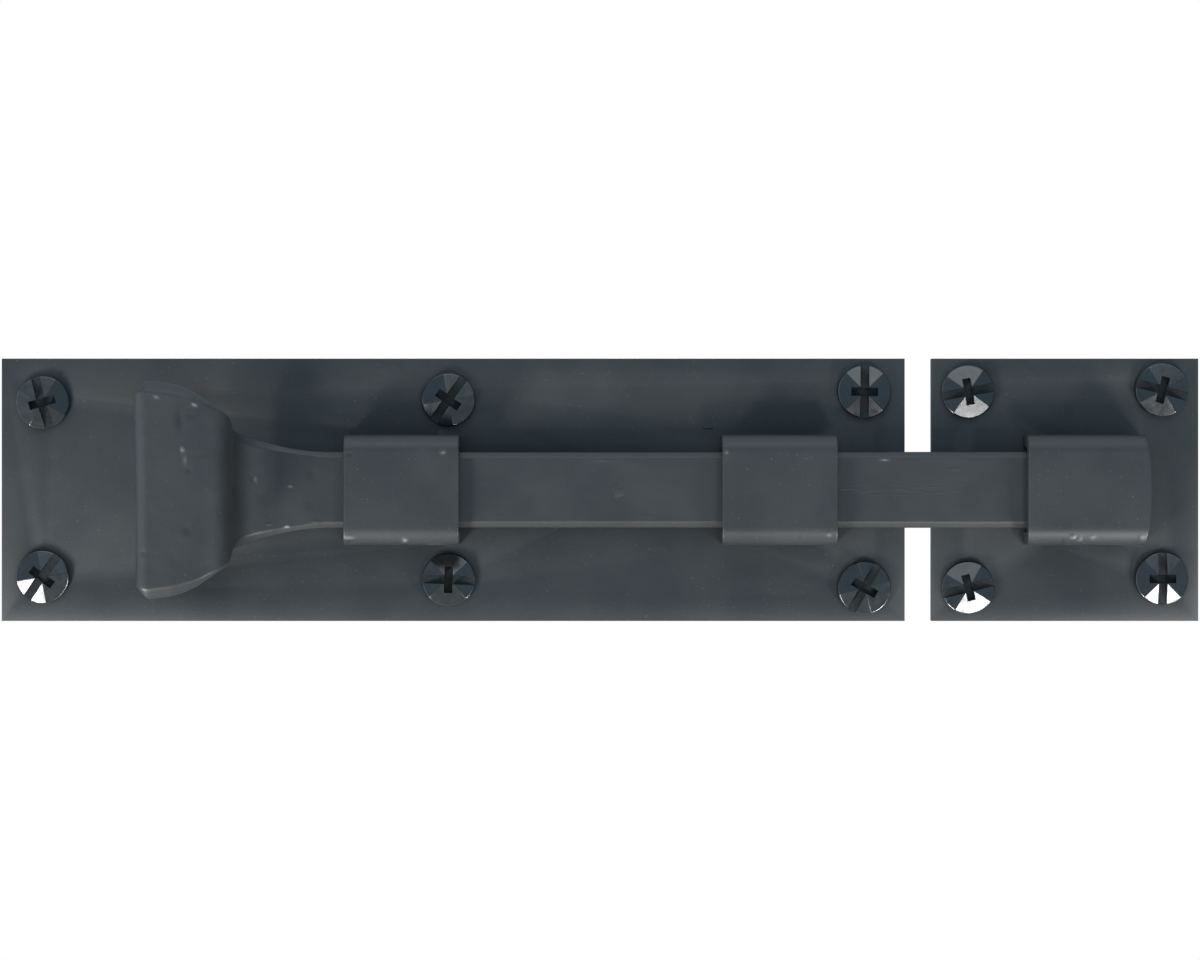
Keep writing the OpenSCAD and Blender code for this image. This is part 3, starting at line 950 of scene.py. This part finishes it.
# Where the round floor lies and how far it reaches.
FLOOR_MIDDLE = (0.03, 0, -0.55)
FLOOR_RADIUS = 1.6
# The light all round is cool, and the floor is a warm pale grey, which evens it out.
AROUND = (0.36, 0.57, 0.72, 1)
WHITE = (1, 1, 1, 1)
FLOOR_TONES = ((0.87, 0.77, 0.70), (0.89, 0.79, 0.72))
# Each lamp: its name, its place, what it is aimed at, its size in metres and its power in watts.
LAMPS = [
    # From low on the left: it throws the handle's and the straps' shadows up the plate.
    ("left key", (-0.335, -0.288, -0.385), (-0.068, 0, 0), 0.155, 4.7),
    # From low on the right: it throws the keep strap's shadow up and to the left.
    ("right key", (0.306, -0.122, -0.216), (0.154, 0, 0), 0.084, 1.35),
    # Small ones, whose reflections fall in the lower facets of the bottom screws.
    ("left glint", (-0.366, -0.425, -0.307), (-0.094, 0, -0.02), 0.08, 0.8),
    ("right glint", (0.24, -0.425, -0.35), (0.135, 0, -0.02), 0.1, 1.0),
    ("left fill", (-0.8, -0.25, 0), (0, 0, 0), 0.8, 1.5),
    # Its reflection falls in the upper facets of the screws.
    ("upper front", (0.03, -0.8, 0.95), (0.03, 0, 0), 0.9, 3.0),
    ("ceiling", (0.03, -0.2, 1.0), (0.03, -0.2, 0), 2.2, 7.5),
]


def aim(obj, place, target):
    obj.location = place
    obj.rotation_euler = (Vector(target) - Vector(place)).to_track_quat("-Z", "Y").to_euler()


def camera():
    data = bpy.data.cameras.new("camera")
    data.sensor_width = CAMERA_SENSOR
    data.lens = CAMERA_LENS
    data.clip_start = 0.05
    obj = add_object("camera", data)
    aim(obj, CAMERA_PLACE, CAMERA_TARGET)
    bpy.context.scene.camera = obj


def lamp(name, place, target, size, power):
    data = bpy.data.lights.new(name, "AREA")
    data.shape = "DISK"
    data.size = size
    data.energy = power
    obj = add_object(name, data)
    aim(obj, place, target)
    obj.visible_camera = False


def surroundings():
    """White behind the object, and a cool, even light all round it."""
    world = bpy.data.worlds.new("studio")
    bpy.context.scene.world = world
    world.use_nodes = True
    nodes, links = world.node_tree.nodes, world.node_tree.links
    around = nodes["Background"]
    around.inputs["Color"].default_value = AROUND
    seen = nodes.new("ShaderNodeBackground")
    seen.inputs["Color"].default_value = WHITE
    mixed = nodes.new("ShaderNodeMixShader")
    links.new(nodes.new("ShaderNodeLightPath").outputs["Is Camera Ray"], mixed.inputs["Fac"])
    links.new(around.outputs[0], mixed.inputs[1])
    links.new(seen.outputs[0], mixed.inputs[2])
    links.new(mixed.outputs[0], nodes["World Output"].inputs["Surface"])


def floor():
    bm = bmesh.new()
    bmesh.ops.create_circle(bm, cap_ends=True, segments=96, radius=FLOOR_RADIUS,
                            matrix=Matrix.Translation(FLOOR_MIDDLE))
    obj = from_bmesh("floor", bm)
    f = Finish("pale floor")
    mottle = f.noise(0.2, 2.0)
    colour = f.mix(mottle, *FLOOR_TONES)
    f.done(colour, f.ramp(mottle, 0, 1, 0.6, 0.7), f.bump(mottle, 0.1 * MM))
    coat(obj, f.material)


def studio():
    bpy.context.scene.view_settings.view_transform = "Standard"
    camera()
    surroundings()
    floor()
    for row in LAMPS:
        lamp(*row)


# ---------------------------------------------------------------- the bolt and its keep

def build():
    hand_in(plate_piece("backplate", "face_plate", PIMPLES), "plate", "painted_steel", "backplate")
    hand_in(plate_piece("keep_plate", "keep_face_plate"), "keep", "painted_steel", "keep_plate")
    strap = strap_recipe()
    hand_in(staple_piece("tail_guide", "tail_strap", strap, 1), "plate", "painted_steel", "tail_guide")
    hand_in(staple_piece("nose_guide", "nose_strap", strap, 2), "plate", "painted_steel", "nose_guide")
    hand_in(staple_piece("keep_staple", "keep_strap", strap, 3, bulge=KEEP_BULGE), "keep", "painted_steel",
            "keep_staple")
    hand_in(forging_piece(), "bolt", "painted_bolt", "bolt_bar")
    head = coat(screw_head(), SCREW_FINISH)
    recipe = screw_recipe()
    row = screw_row("plate_wood_screws", PLATE_SCREWS, recipe, head)
    hand_in(row, "plate", "black_screws", *PLATE_SCREWS)
    row = screw_row("keep_wood_screws", KEEP_SCREWS, recipe, head)
    hand_in(row, "keep", "black_screws", *KEEP_SCREWS)
    bpy.data.objects.remove(head)
    hand_in(stop_pin(), "bolt", "bare_steel", "stop_pin")
    hand_in(steel_piece("friction_spring", "bowed_spring", 0.08 * MM, SPRING_STEEL), "bolt", "spring_steel",
            "friction_spring")
    hand_in(steel_piece("spring_rivet", "spring_rivet_steel", 0.15 * MM, PIN_STEEL), "bolt", "bare_steel",
            "spring_rivet")


studio()
build()
